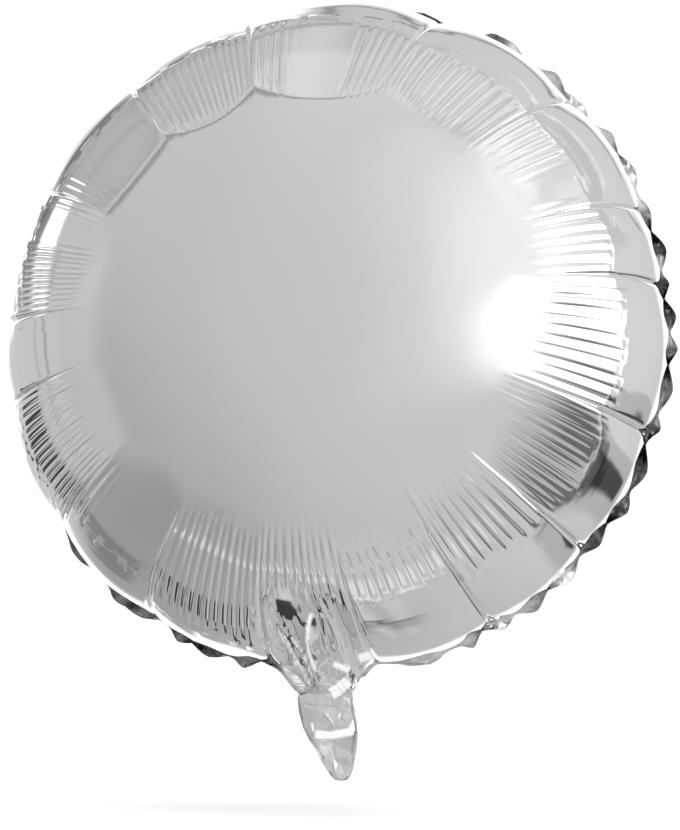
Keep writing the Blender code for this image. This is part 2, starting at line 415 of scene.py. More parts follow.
# %% Sockets and guide readings
# heights in metres: a hem is the low ridge where the ripples end, and hoops are faint waves beyond it
RIPPLE_SHARPNESS = 2.2
CREASE_HALF_ANGLE = 0.45
CREASE_DEPTH = 0.0020
SHOULDER_WIDTH = 0.14
HEM_HEIGHT = 0.00022
HOOP_HEIGHT = 0.000016
CORNER_DROP = 0.0008
CORNER_WIDTH = 6.0
NECK_FLATNESS = 0.72
WELD_HALF = 0.0003
SWELL_SLOPES = (math.radians(35), math.radians(80))
DRAWN_SLOPES = (math.radians(50), math.radians(90))
MERGE_DISTANCE = 2e-6


def new_tree(name, inputs):
    """An empty geometry tree, and a function that gives each of its named inputs as a field."""
    tree = bpy.data.node_groups.new(name, "GeometryNodeTree")
    for label, kind in {"Geometry": "Geometry", **inputs}.items():
        tree.interface.new_socket(name=label, in_out="INPUT", socket_type="NodeSocket" + kind)
    tree.interface.new_socket(name="Geometry", in_out="OUTPUT", socket_type="NodeSocketGeometry")
    entry = tree.nodes.new("NodeGroupInput").outputs
    return tree, lambda label: Field(tree, entry[label])


def ring_grid(tree, columns, rows):
    """A grid whose last column lies on its first. Gives its mesh, and each point's column and row."""
    grid = add_node(tree, "GeometryNodeMeshGrid", "Mesh", {"Vertices X": columns + 1, "Vertices Y": rows})
    number = Field(tree, add_node(tree, "GeometryNodeInputIndex", "Index", {}))
    column = ((number + 0.5) / rows).whole()
    row = number - column * rows
    return grid, column - columns * ((column + 0.5) / columns).whole(), row


def reader(tree, guide, index):
    """A function that reads a named number off a guide's points, at the given index."""
    points = add_node(tree, "GeometryNodeObjectInfo", "Geometry", {"Object": guide})

    def read(label):
        value = add_node(
            tree, "GeometryNodeInputNamedAttribute", "Attribute", {"Name": label}, data_type="FLOAT")
        slots = {"Geometry": points, "Value": value, "Index": index}
        return Field(tree, add_node(tree, "GeometryNodeSampleIndex", "Value", slots, data_type="FLOAT"))
    return read


def close_tree(tree, mesh, place, material, flip=False):
    """Put a grid's points in place, close it where its points meet, and hand it out as a plain mesh."""
    position = add_node(tree, "ShaderNodeCombineXYZ", "Vector", dict(zip("XYZ", place)))
    steps = (
        ("SetPosition", "Geometry", {"Position": position}),
        ("MergeByDistance", "Geometry", {"Distance": MERGE_DISTANCE}),
        ("FlipFaces", "Mesh", {"Selection": flip}),
        ("RealizeInstances", "Geometry", {}),
        ("SetMaterial", "Geometry", {"Material": material}),
    )
    for kind, through, inputs in steps:
        mesh = add_node(tree, "GeometryNode" + kind, through, {through: mesh, **inputs})
    tree.links.new(mesh, tree.nodes.new("NodeGroupOutput").inputs["Geometry"])


# %% The panel's formula
def panel_tree(material):
    """A domed foil panel: Side is 1 for the front and -1 for the back."""
    tree, given = new_tree("foil_panel", {
        "Ring": "Object", "Meridian": "Object", "Columns": "Int", "Rows": "Int", "Side": "Float",
        "Crease Depth": "Float", "Ripple Size": "Float"})
    side = given("Side")
    grid, column, row = ring_grid(tree, given("Columns"), given("Rows"))
    ring = reader(tree, given("Ring"), column)
    line = reader(tree, given("Meridian"), row)

    share = line("share")
    slope = line("slope")
    across = ring("across")
    puffed = slope.rise(*SWELL_SLOPES)
    swell = ring("swell") * (1 - across * across) * puffed
    deep = share.rise(ring("crease_start"), 1.0)
    reach = 0.35 * CREASE_HALF_ANGLE + 0.65 * CREASE_HALF_ANGLE * deep
    crease = (1 - ring("crease_gap") / reach).at_least(0) * deep * given("Crease Depth")
    ridge = 1 - ((ring("ripple") * 2 - 1).size()) ** RIPPLE_SHARPNESS
    begin = ring("ripple_start")
    end = ring("ripple_end")
    rippled = share.rise(begin - 0.02, begin + 0.08) * (1 - share.rise(end - 0.016, end + 0.010))
    ripple = ridge * rippled * ring("ripple_height") * given("Ripple Size")
    hem = (1 - ((share - end - 0.006) / 0.011).size()).at_least(0).rise(0, 1) * ring("strength") * HEM_HEIGHT
    hoops = (share * 330 + ring("phase")).sine() * share.rise(end, end + 0.02) * HOOP_HEIGHT
    beyond = ((share - ring("shoulder_start")) / SHOULDER_WIDTH).at_least(0).at_most(1)
    fall = beyond * (1 - beyond * 0.5) * ring("shoulder") * (SHOULDER_WIDTH * RIM_RADIUS)
    fall = fall * (1 - share.rise(0.80, 0.96))
    flat = ring("flat") * (1 - across * across) * share.rise(0.58, 0.74) * (1 - share.rise(0.93, 0.99))
    flat = flat * (1 - ring("neck_wide"))
    corner = (1 - ring("crease_gap") / CORNER_WIDTH).at_least(0).rise(0, 1) * (1 - ring("neck_wide"))
    corner = corner * share.rise(0.86, 0.955) * (1 - share.rise(0.972, 1.0)) * CORNER_DROP
    corner = corner * ring("azimuth").cosine().rise(-0.2, 0.9)
    ripple = ripple * (1 - ring("calm") * share.rise(0.72, 0.82))
    stand = swell - crease + ripple + hem + hoops - fall - flat - corner

    drawn = ring("drawn") * slope.rise(*DRAWN_SLOPES)
    pinch = ring("neck_wide") * slope.rise(*SWELL_SLOPES)
    radius = line("radius") + stand * slope.sine() + drawn
    depth = (line("height") + stand * slope.cosine()) * (1 - pinch * NECK_FLATNESS) + WELD_HALF
    azimuth = ring("azimuth")
    place = (radius * azimuth.cosine(), -depth * side, -radius * azimuth.sine())
    close_tree(tree, grid, place, material, flip=calculate(tree, "LESS_THAN", side, 0))
    return tree


def bake(item):
    """What an object's modifiers make of it, as a plain mesh."""
    bpy.context.view_layer.update()
    return bpy.data.meshes.new_from_object(item.evaluated_get(bpy.context.evaluated_depsgraph_get()))


def grow(name, tree, columns, settings):
    """Run a tree round a ring of columns, and keep what it makes as a plain mesh object."""
    ring = add_guide("ring_guide", columns)
    settings = {"Ring": ring, "Columns": len(ring.data.vertices), **settings}
    maker = add_object(name, bpy.data.meshes.new(name))
    modifier = maker.modifiers.new("tree", "NODES")
    modifier.node_group = tree
    for item in tree.interface.items_tree:
        if item.in_out == "INPUT" and item.name in settings:
            modifier[item.identifier] = settings[item.name]
    made = bake(maker)
    for item in (maker, ring):
        bpy.data.objects.remove(item, do_unlink=True)
    piece = add_object(name, made)
    made.name = name
    made.shade_smooth()
    triangles = sum(len(face.vertices) - 2 for face in made.polygons)
    print(f"{name}: {len(made.vertices)} points, {triangles} triangles")
    return piece


# %% [markdown]
# ## The foil
#
# Foil is film with a very thin coat of aluminium, so it is a metal mirror, but not a perfect one. It is
# slightly uneven everywhere, which makes its reflections swim. A roughness that varies a little and a very
# shallow bump at two sizes are enough. More would make it look like crushed kitchen foil. The light that the
# edges of the sharp folds catch is painted in: a number on each point says where the film is a dull white
# instead.


# %% The foil's material
def new_material(name, values):
    """A material whose shader has these values."""
    material = bpy.data.materials.new(name)
    material.use_nodes = True
    tree = material.node_tree
    shader = tree.nodes["Principled BSDF"]
    for label, value in values.items():
        plug(tree, shader.inputs[label], value)
    return material, tree, shader


def add_noise(tree, scale, detail, roughness=0.5):
    """Noise on the object's own coordinates."""
    place = add_node(tree, "ShaderNodeTexCoord", "Object", {})
    slots = {"Scale": scale, "Detail": detail, "Roughness": roughness, "Vector": place}
    return Field(tree, add_node(tree, "ShaderNodeTexNoise", "Fac", slots))


def add_bump(tree, shader, height):
    """Tilt the shading as a surface of this height in metres would."""
    slots = {"Strength": 1.0, "Distance": 1.0, "Height": height}
    plug(tree, shader.inputs["Normal"], add_node(tree, "ShaderNodeBump", "Normal", slots))


def point_number(tree, name):
    """A number that is kept on each point of the piece."""
    return Field(tree, add_node(tree, "ShaderNodeAttribute", "Fac", {}, attribute_name=name))


def mix_colour(tree, shader, share, first, second):
    """Give the shader a colour between two others."""
    slots = {"Factor": share, "A": first, "B": second}
    plug(tree, shader.inputs["Base Color"], add_node(
        tree, "ShaderNodeMix", "Result", slots, data_type="RGBA", clamp_factor=False))


# %% Two kinds of film
# the scale, spread and least value of the roughness, then the scale, detail and height of each bump
SMOOTH_FILM = ((60, 0.05, 0.045), ((45, 2, 0.0001), (420, 1, 0.000004)))
CRUMPLED_FILM = ((150, 0.10, 0.08), ((140, 3, 0.0006), (420, 2, 0.00012)))
FRONT_COLOUR = (0.90, 0.90, 0.905, 1)
BACK_COLOUR = (0.87, 0.87, 0.885, 1)
# white of the painted highlights, which stand in for the light on the sharp folds' edges
HIGHLIGHT_WHITE = (0.96, 0.96, 0.96, 1)


def foil_material(name, colour, film):
    """A thin metal mirror with its unevenness, which is a dull white where a painted highlight lies."""
    material, tree, shader = new_material(name, {})
    (scale, spread, least), bumps = film
    plug(tree, shader.inputs["Roughness"], add_noise(tree, scale, 3) * spread + least)
    add_bump(tree, shader, sum(add_noise(tree, scale, detail) * height for scale, detail, height in bumps))
    # painted highlight: the film turns a dull white where the folds' edges catch the light
    highlight_amount = point_number(tree, "painted_highlight") * 0.9
    plug(tree, shader.inputs["Metallic"], 1 - highlight_amount)
    mix_colour(tree, shader, highlight_amount, colour, HIGHLIGHT_WHITE)
    print(name, "with", len(tree.nodes), "nodes")
    return material


front_foil = foil_material("front_foil_mirror", FRONT_COLOUR, SMOOTH_FILM)
back_foil = foil_material("back_foil_mirror", BACK_COLOUR, SMOOTH_FILM)

# %% Make the two panels
meridian = add_guide("meridian_guide", rows)
tree = panel_tree(front_foil)


def make_panel(name, node, side, seed, material):
    """Grow one of the two panels. Its seed decides how its ripples differ."""
    panel = grow(name, tree, ring_columns(seed), {
        "Meridian": meridian, "Rows": PANEL_ROWS, "Side": side,
        "Crease Depth": CREASE_DEPTH, "Ripple Size": 1.0})
    panel.data.materials.clear()
    panel.data.materials.append(material)
    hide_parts(node)
    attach(panel, "envelope")
    return panel


front = make_panel("front_foil_panel", "front_panel", 1.0, 7, front_foil)
back = make_panel("back_foil_panel", "back_panel", -1.0, 11, back_foil)
bpy.data.objects.remove(meridian, do_unlink=True)

# %% [markdown]
# ## The neck's folds and the tail's crumples
#
# Crumpled film is a set of flat facets with sharp creases between them. So it can be drawn with few numbers:
# the points where creases meet, and how far each stands towards the viewer. A triangulation through the
# points gives the facets. Where a point has no height, the film stays where the plain funnel has it. Thin
# folds, and the painted highlights along their edges, run through a few points each, so they are drawn with
# lines.

# %% Where the creases meet
# x, z and height in millimetres, first on the neck and then on the tail
NECK_POINTS = (
    (-31, -150, None), (-26, -140, None), (-14, -136, None), (4, -134, None), (18, -136, None),
    (28, -142, None), (34, -152, None), (34, -164, None), (-31, -164, None), (-26.3, -170, None),
    (25, -169, None), (-20, -177, None), (17, -176, None), (-16, -182.5, None),
    (-15, -146, None), (-7, -146.5, None), (5.7, -146.7, None), (12, -147.5, None), (20, -152.5, None),
    (-18.8, -155.5, 36), (-16.5, -168, 11), (-15.2, -156, 38.5), (-9.7, -155.4, 38.5),
    (-4.6, -153.6, 44), (1.7, -148, 53.5), (-8.9, -169, 20), (-7.6, -163.6, 26.5), (-7.5, -171.4, 15.5),
    (-3.2, -164.1, 30.7), (-4.0, -175, 15.2), (-5.6, -183.2, 3.4), (-2.0, -183.5, 3.8),
    (9.5, -150.5, 50), (10.8, -166.4, 27.4), (4.0, -168.9, 23.9), (12.6, -173.8, 12.5),
    (16.3, -168.6, 16), (17.3, -163.8, 23), (26, -160, None), (8.0, -178.2, 7.1),
    (14.6, -177.3, 7.4), (0.6, -183.1, 3.8), (-19, -174, 2.0), (-13, -177.5, 2.2), (-9.5, -182.5, 1.2),
    (14.6, -184.5, 2.6), (9.0, -186.9, 1.2), (3.0, -187.6, 0.7), (-1.0, -185.6, 1.2), (-6.5, -185.6, 0.5),
)
TAIL_POINTS = (
    (-14.6, -188, 0.0), (14.7, -188.6, 0.3), (-13.8, -195, 0.0), (-11.6, -202.8, 0.1), (-5.1, -192.6, 1.0),
    (4.0, -192.9, 0.5), (13.6, -192.3, 0.9), (-9.5, -197.5, 0.5), (-6.3, -201.4, 0.7), (1.5, -198.5, 1.3),
    (8.5, -196.5, 0.9), (15.5, -197.5, 0.5), (3.5, -202, 1.6), (-7.4, -206.9, 0.75), (-4.9, -205.9, 1.4),
    (4.0, -205.4, 1.75), (13.4, -203.3, 3.2), (17.3, -206.2, 1.2), (-2.0, -208.3, -0.2), (4.3, -210.7, -1.86),
    (10.7, -209.1, -0.77), (-6.8, -211, 0.2), (17.1, -211, 0.4), (-2.8, -215.8, -0.3), (1.8, -216.5, -1.2),
    (5.2, -219.5, -0.3), (9.5, -214.3, -1.4), (7.8, -221.5, -1.2), (11.8, -218, 0.1), (14.8, -222.3, -0.4),
    (16.6, -216.3, 0.3), (-2.0, -219.3, 0.1), (3.0, -226.8, 0.0), (7.2, -229.8, 0.2), (14.4, -227, 0.1),
    (10.4, -225.8, -0.5), (5.8, -225, 0.2),
)
# half width and height of a thin fold in millimetres, then the x and z of the points it runs through
THIN_FOLDS = (
    (1.3, 1.3, (-20, -143), (-16, -157), (-11.5, -168), (-6.0, -183)),
    (1.2, -1.2, (-17.5, -146), (-13, -157.5), (-9.6, -168), (-5.6, -182)),
    (1.2, -1.1, (-9.7, -150), (-8.6, -158), (-7.4, -166), (-6.3, -174)),
    (1.2, -1.0, (8.5, -139.4), (13, -156), (15, -168), (12.8, -173)),
    (1.2, 1.1, (5.5, -138), (10.5, -153), (12.6, -166), (12.4, -173)),
    (1.2, -0.9, (14.5, -140), (17.5, -155), (17.8, -168.5)),
    (1.1, -0.8, (20, -139), (23.6, -150), (25.6, -157)),
    (1.0, -0.8, (12.6, -173.8), (17.5, -172.2), (22, -170.5)),
    (0.9, 0.7, (12.6, -173.8), (8.0, -171.6), (4.0, -170.8)),
    (0.9, -0.8, (3.0, -181.5), (6.5, -182), (9.5, -185.5)),
    (0.9, -0.7, (8.5, -179.5), (10, -183), (12.5, -186)),
    (1.0, -0.6, (-11, -192), (-4.0, -192.7), (5.0, -193.1), (13.6, -192.1)),
    (0.9, 0.5, (-1.0, -195), (3.0, -199.5), (5.5, -203)),
    (0.9, -0.5, (9.5, -194), (8.0, -198.5), (12, -201.5)),
    (1.6, -0.3, (3.6, -212.5), (5.4, -218), (7.4, -225.5)),
)
# half width of a painted highlight in millimetres, then the x and z of the points it runs through
HIGHLIGHT_STROKES = (
    (1.4, (2.4, -147), (-1.4, -153), (-3.5, -160), (-3.9, -167), (-2.8, -176)),
    (1.1, (-18, -158), (-13, -168.5), (-6.6, -183.5)),
    (0.9, (-12.6, -157), (-8.0, -166), (-4.6, -179)),
    (2.2, (18.5, -169), (24, -167.3), (29.5, -165.6)),
    (2.0, (6.5, -171), (12.6, -173.8), (14, -172.5)),
    (3.2, (3.0, -186.5), (8.0, -183.6), (13.6, -179)),
    (2.4, (-5.6, -206.9), (4.0, -207.2), (10, -206), (16.4, -204.6)),
    (1.0, (-6.6, -200.5), (-5.4, -206)),
)
print(len(NECK_POINTS) + len(TAIL_POINTS), "points,", len(THIN_FOLDS), "thin folds,", len(HIGHLIGHT_STROKES), "painted_highlights")


# %% A faceted surface through points
def facet_tree(points, plain):
    """The offset from the plain funnel, as a triangulated surface that rays can be cast on."""
    flat = [Vector((x, z)) for x, z, height in points]
    corners, _, faces, sources, _, _ = delaunay_2d_cdt(flat, [], [], 0, 1e-4)
    places = []
    for corner, source in zip(corners, sources):
        x, z, height = points[source[0]]
        places.append(Vector((x, 0.0 if height is None else height - plain(x, z), z)))
    return BVHTree.FromPolygons(places, faces)


def cast(surface, x, z):
    """How far a surface stands at x and z, or None beside it."""
    hit = surface.ray_cast(Vector((x, -500, z)), Vector((0, 1, 0)))[0]
    return None if hit is None else hit.y


def fold_height(x, z):
    """What the thin folds add at x and z, in millimetres."""
    total = 0.0
    for half_width, height, *line in THIN_FOLDS:
        away, ending = along_line(x, z, line)
        total += height * smooth(1 - away / half_width) * ending
    return total


def along_line(x, z, line):
    """Distance to a line of points, and 1 along it with a soft fall at both its ends."""
    nearest = 1e9
    ending = 1.0
    for step, (a, b) in enumerate(zip(line, line[1:])):
        run = (b[0] - a[0], b[1] - a[1])
        along = ((x - a[0]) * run[0] + (z - a[1]) * run[1]) / (run[0] ** 2 + run[1] ** 2)
        held = min(max(along, 0.0), 1.0)
        away = math.hypot(x - a[0] - run[0] * held, z - a[1] - run[1] * held)
        if away < nearest:
            nearest = away
            ending = smooth((step + held) * 3) * smooth((len(line) - 1 - step - held) * 3)
    return nearest, ending


HIGHLIGHT_FADE = 0.9
FOLDED_HALF_WIDTH = 36


def highlight_share(x, z):
    """How much painted highlight the film has at x and z: 0 is bright foil and 1 is white."""
    most = 0.0
    for half_width, *line in HIGHLIGHT_STROKES:
        away, ending = along_line(x, z, line)
        most = max(most, smooth((half_width - away) / HIGHLIGHT_FADE) * min(ending * 2, 1.0))
    return most


def painted_highlight(piece):
    """Keep the painted highlights as a number on each point of a piece, where its material finds them."""
    values = []
    for vertex in piece.data.vertices:
        x, y, z = vertex.co * 1000
        near = z < -140 and abs(x) < FOLDED_HALF_WIDTH and y < 1.5
        values.append(highlight_share(x, z) if near else 0.0)
    set_numbers(piece.data, "painted_highlight", values)


# %% Lay the folds on the front panel
FOLDED_TOP = -134
FOLDED_DEPTH = -0.35
TAIL_TOP = -186
funnel = BVHTree.FromPolygons(
    [vertex.co * 1000 for vertex in front.data.vertices], [face.vertices for face in front.data.polygons])


def funnel_height(x, z):
    """How far the plain front panel stands at x and z, in millimetres."""
    depth = cast(funnel, x, z)
    return 0.5 if depth is None else -depth


neck_facets = facet_tree(
    NECK_POINTS + TAIL_POINTS, lambda x, z: funnel_height(x, z) if z > TAIL_TOP else 0.0)


def relief(x, z):
    """How far the folded film stands out from the plain funnel, in millimetres."""
    return (cast(neck_facets, x, z) or 0.0) + fold_height(x, z)


moved = 0
for vertex in front.data.vertices:
    x, y, z = vertex.co * 1000
    if z < FOLDED_TOP and abs(x) < FOLDED_HALF_WIDTH and y < FOLDED_DEPTH:
        vertex.co.y -= relief(x, z) * smooth((FOLDED_DEPTH - y) / 2) / 1000
        moved += 1
painted_highlight(front)
print(moved, "points of the front panel moved into folds")

# %% [markdown]
# ## The tail
#
# The tail is the same two films, welded down both sides, with a thin plastic valve between them. It hangs
# from the neck, and it bends there as soon as it is touched. Each of its sheets starts on the neck.

# %% The tail's outline
SHEET_TOP = -178.5
BACK_SHEET_TOP = -182.5
VALVE_TOP = -187.0
VALVE_FOOT = -201.5
VALVE_SIDES = (-7.4, 10.4)
VALVE_THICKNESS = 0.00008
# height, left edge and right edge in millimetres
TAIL_SIDES = (
    (-178.5, -18.9, 18.9), (-181.0, -17.2, 17.2), (-183.4, -15.6, 15.4), (-185.6, -14.6, 14.3),
    (-188.6, -14.4, 14.5), (-195.1, -13.6, 15.7), (-202.8, -11.4, 17.1), (-206.6, -9.4, 17.4),
    (-211.0, -6.8, 17.1), (-216.3, -3.7, 16.5), (-219.5, -1.8, 15.9), (-223.4, 0.8, 15.2),
    (-226.4, 3.0, 14.3), (-228.6, 5.0, 12.6), (-229.6, 7.2, 10.2),
)


def side_at(z, side):
    """x of the tail's left (0) or right (1) edge."""
    heights = [-row[0] for row in TAIL_SIDES]
    return float(np.interp(-z, heights, [row[1 + side] for row in TAIL_SIDES]))


def tail_middle(x, z):
    """How far the tail's middle stands towards the viewer, in millimetres."""
    if z > TAIL_TOP:
        return max(funnel_height(x, z), 0.5) + relief(x, z) - 1.3 * smooth((z + 181.8) / 3)
    return relief(x, z)


def back_middle(x, z):
    """The same for the back: on the neck it follows the back panel, and below it the tail's middle."""
    on_tail = smooth((-z - 183) / 4)
    return -max(funnel_height(x, z), 0.5) * (1 - on_tail) + relief(x, z) * on_tail


# %% The two foil layers and the valve
def finish_shape(shape, name):
    """Turn what was drawn into a mesh object."""
    mesh = bpy.data.meshes.new(name)
    shape.to_mesh(mesh)
    shape.free()
    print(f"{name}: {len(mesh.vertices)} points")
    return add_object(name, mesh)


def tail_sides(z):
    """x of the tail's two edges at one height."""
    return side_at(z, 0), side_at(z, 1)


def make_sheet(name, top, stand, foot=TAIL_SIDES[-1][0], sides=tail_sides, columns=72, rows=120):
    """One film of the tail: stand(x, z, across) says how far each point stands towards the viewer."""
    shape = bmesh.new()
    bmesh.ops.create_grid(shape, x_segments=columns, y_segments=rows, size=1)
    for point in shape.verts:
        z = top + (foot - top) * (1 - point.co.y) / 2
        low, high = sides(z)
        x = low + (high - low) * (1 + point.co.x) / 2
        point.co = Vector((x, -stand(x, z, point.co.x), z)) / 1000
    sheet = finish_shape(shape, name)
    sheet.data.shade_smooth()
    return sheet


def finish_tail_piece(piece, node, material):
    """Give a piece of the tail its material, hide the plain part that it replaces, and keep its place in its
    points.
    """
    piece.data.materials.append(material)
    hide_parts(node)
    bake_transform(piece)


front_layer = make_sheet(
    "tail_front_foil", SHEET_TOP,
    lambda x, z, across: tail_middle(x, z) + 0.15 + 0.35 * (1 - across * across))
back_layer = make_sheet(
    "tail_back_foil", BACK_SHEET_TOP,
    lambda x, z, across: back_middle(x, z) - 0.15 - 0.35 * (1 - across * across))
back_layer.data.flip_normals()
painted_highlight(front_layer)

valve = make_sheet(
    "valve_film_sleeve", VALVE_TOP, lambda x, z, across: relief(x, z), VALVE_FOOT,
    sides=lambda z: VALVE_SIDES, columns=24, rows=20)
skin = valve.modifiers.new("skin", "SOLIDIFY")
skin.thickness = VALVE_THICKNESS
skin.offset = 0
valve_mesh = bake(valve)
valve.modifiers.clear()
valve.data = valve_mesh

# %% [markdown]
# ## The tail's welded edges
#
# Both layers and the valve are sealed together down the tail's sides, about 3 mm wide. The seal is a flat
# band that runs down one side, round the tip and up the other, so it is one row of sections along a line.

# %% The welded edge
EDGE_HALF_WIDTH = 1.35
EDGE_HALF_THICKNESS = 0.26
EDGE_STATIONS = 150
EDGE_SECTION = 10


def edge_path():
    """Points down the left side of the tail, round its tip and up the right side, evenly spaced."""
    below = [row for row in TAIL_SIDES if row[0] <= VALVE_TOP]
    corners = [(row[1] + EDGE_HALF_WIDTH, row[0]) for row in below]
    corners += [(row[2] - EDGE_HALF_WIDTH, row[0]) for row in reversed(below)]
    corners = [(x, max(z, TAIL_SIDES[-1][0] + EDGE_HALF_WIDTH * 0.6)) for x, z in corners]
    line = np.array(corners)
    run = np.concatenate([[0], np.cumsum(np.hypot(*np.diff(line, axis=0).T))])
    places = np.linspace(0, run[-1], EDGE_STATIONS)
    return np.stack([np.interp(places, run, line[:, 0]), np.interp(places, run, line[:, 1])], axis=1)


def make_welded_edge():
    """A flattened tube along the path, closed at both its ends."""
    path = edge_path()
    along = np.gradient(path, axis=0)
    along /= np.hypot(along[:, 0], along[:, 1])[:, None]
    shape = bmesh.new()
    rings = []
    for (x, z), (run_x, run_z) in zip(path, along):
        ring = []
        for step in range(EDGE_SECTION):
            turn = 2 * math.pi * step / EDGE_SECTION
            out = EDGE_HALF_WIDTH * math.cos(turn)
            place_x, place_z = x + out * run_z, z - out * run_x
            stand = tail_middle(x, z) + EDGE_HALF_THICKNESS * math.sin(turn)
            ring.append(shape.verts.new(Vector((place_x, -stand, place_z)) / 1000))
        rings.append(ring)
    for low, high in zip(rings, rings[1:]):
        for step in range(EDGE_SECTION):
            after = (step + 1) % EDGE_SECTION
            shape.faces.new((low[step], low[after], high[after], high[step]))
    shape.faces.new(rings[0][::-1])
    shape.faces.new(rings[-1])
    bmesh.ops.recalc_face_normals(shape, faces=shape.faces)
    edge = finish_shape(shape, "tail_welded_edge")
    edge.data.shade_smooth()
    return edge


welded_edge = make_welded_edge()

# %% [markdown]
# ## The welded margin round the rim
#
# Outside the weld some 6 mm of film is left over. On the flat disc it was the longest line round, and the
# filled rim is shorter by a quarter, so the margin has to buckle. It curls to the front and to the back in
# turn. Seen from the front, each change of side is a broad leaf and each curl is a pinched point between
# two leaves. One flap after another goes on a guide, and Geometry Nodes wrap a thin section round it. On one
# side, and beside the neck, the margin is folded back behind the rim, where the front hides it.

# %% The margin's flaps
FLAPS = 54
COLUMNS_PER_FLAP = 12
MARGIN_WIDTH = 0.0047
MARGIN_INSIDE = 0.0012
MARGIN_HALF_THICKNESS = 0.00012
MARGIN_CURL = 86
NECK_MARGIN_WIDTH = 0.0010
# where it is folded back: by how many degrees, the middle's azimuth, how far it reaches and its fade
FOLDED_BACK = ((78, 215, 112, 60), (62, 77, 14, 6))


def rim_at(azimuth):
    """Radius of the panels' edge, with the facets' swell and the neck."""
    turned = (azimuth - FACET_STARTS[0]) % 360 + FACET_STARTS[0]
    for low, high in zip(FACET_STARTS, FACET_STARTS[1:]):
        if low <= turned <= high:
            across = 2 * (turned - low) / (high - low) - 1
            swell = FACET_SWELL * (high - low) / COMMON_FACET * (1 - across * across)
            return RIM_RADIUS + swell + neck_draw(azimuth, swell)


def margin_ring(seed):
    """What each column of the margin needs to know."""
    chance = np.random.RandomState(seed)
    widths = chance.uniform(0.75, 1.25, FLAPS)
    ends = np.concatenate([[0], np.cumsum(widths)]) * 360 / widths.sum()
    values = {}
    for flap in range(FLAPS):
        leaf = MARGIN_WIDTH * chance.uniform(0.9, 1.1)
        turn = 1 if flap % 2 else -1
        for step in range(COLUMNS_PER_FLAP):
            part = step / COLUMNS_PER_FLAP
            azimuth = ends[flap] + (ends[flap + 1] - ends[flap]) * part
            folded = 0
            for turned, middle, reach, fade in FOLDED_BACK:
                apart = abs((azimuth - middle + 180) % 360 - 180)
                folded += turned * smooth((reach - apart) / fade)
            neck = neck_share(azimuth, 1.6)
            wave = math.copysign(abs(2 * part - 1) ** 0.75, 2 * part - 1)
            curl = (MARGIN_CURL - folded * 0.9) * turn * wave
            keep(values, {
                "azimuth": math.radians(azimuth),
                "base": rim_at(azimuth) - MARGIN_INSIDE,
                "width": leaf * (1 - neck) + NECK_MARGIN_WIDTH * neck,
                "tilt": math.radians((folded + curl) * (1 - neck)),
            })
    return values


# %% The margin's tree
def margin_tree(material):
    """A thin waved strip. Each column runs out along one of its faces and comes back along the other."""
    tree, given = new_tree("waved_margin", {
        "Ring": "Object", "Columns": "Int", "Stations": "Int", "Inside": "Float", "Half Thickness": "Float"})
    stations = given("Stations")
    inside = given("Inside")
    grid, column, row = ring_grid(tree, given("Columns"), stations * 2 + 1)
    ring = reader(tree, given("Ring"), column)

    to_edge = 1 - (row / stations - 1).size()
    face = calculate(tree, "SIGN", stations - row)
    length = to_edge * (ring("width") + inside)
    outside = (length - inside).at_least(0)
    bend = ring("tilt") * (outside / ring("width")).rise(-0.7, 0.9)
    lift = face * given("Half Thickness") * (to_edge * 12).at_most(1)
    radius = ring("base") + length.at_most(inside) + outside * bend.cosine() - lift * bend.sine()
    depth = outside * bend.sine() + lift * bend.cosine()
    azimuth = ring("azimuth")
    close_tree(tree, grid, (radius * azimuth.cosine(), depth, -radius * azimuth.sine()), material)
    return tree


# %% [markdown]
# ## The dull foil of the welds
#
# The jaws of the welder are hot, so the film between them has lost its shine in patches. The rest of the
# margin's grey is painted light and shade: a darker grey, painted shade, where it stands away from the light,
# and a paler one, painted highlight, along the stretches that catch it. A number on each of its points says
# how pale it is there, and one material serves it all the way round.

# %% The weld's material
def weld_material(name, dark, light):
    """Dulled foil whose patches go from a dark grey to a light one."""
    material, tree, shader = new_material(name, {"Metallic": 1.0})
    patches = add_noise(tree, 90, 3, 0.6).rise(0.36, 0.68)
    share = (patches + point_number(tree, "pale")).at_most(3)
    mix_colour(tree, shader, share, (dark, dark, dark, 1), (light, light, light, 1))
    plug(tree, shader.inputs["Roughness"], patches * 0.12 + 0.16)
    add_bump(tree, shader, add_noise(tree, 200, 2) * 0.00035)
    return material


# the rim's near-black grey is painted shade, and its pale stretches are painted highlight
weld_foil = weld_material("rim_weld_foil", 0.06, 0.36)
tail_weld_foil = weld_material("tail_weld_foil", 0.45, 0.85)

# %% The margin itself
MARGIN_STATIONS = 8
PALE_STRENGTH = 1.9
# where the painted highlight lies, as it catches the light: strength, first and last azimuth, and the fade at
# either end
PALE_STRETCHES = ((1.0, 298, 342, 6, 6), (1.0, 40, 93, 5, 5), (0.5, 92, 106, 3, 6))


def paleness(vertex):
    """How pale the margin is at one of its points."""
    azimuth = math.degrees(math.atan2(-vertex.co.z, vertex.co.x)) % 360
    return PALE_STRENGTH * max(
        smooth((azimuth - first) / fade_in) * smooth((last - azimuth) / fade_out) * strength
        for strength, first, last, fade_in, fade_out in PALE_STRETCHES)


margin = grow("rim_margin_strip", margin_tree(weld_foil), margin_ring(seed=5), {
    "Stations": MARGIN_STATIONS, "Inside": MARGIN_INSIDE, "Half Thickness": MARGIN_HALF_THICKNESS})
set_numbers(margin.data, "pale", [paleness(vertex) for vertex in margin.data.vertices])
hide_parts("rim_weld_margin")
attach(margin, "envelope")

# %% [markdown]
# ## The tail's finishes
#
# The tail's film is the same mirror, but handling has crumpled it finely. The seal is the weld's dull foil,
# and the valve is clear plastic that scatters a little light.

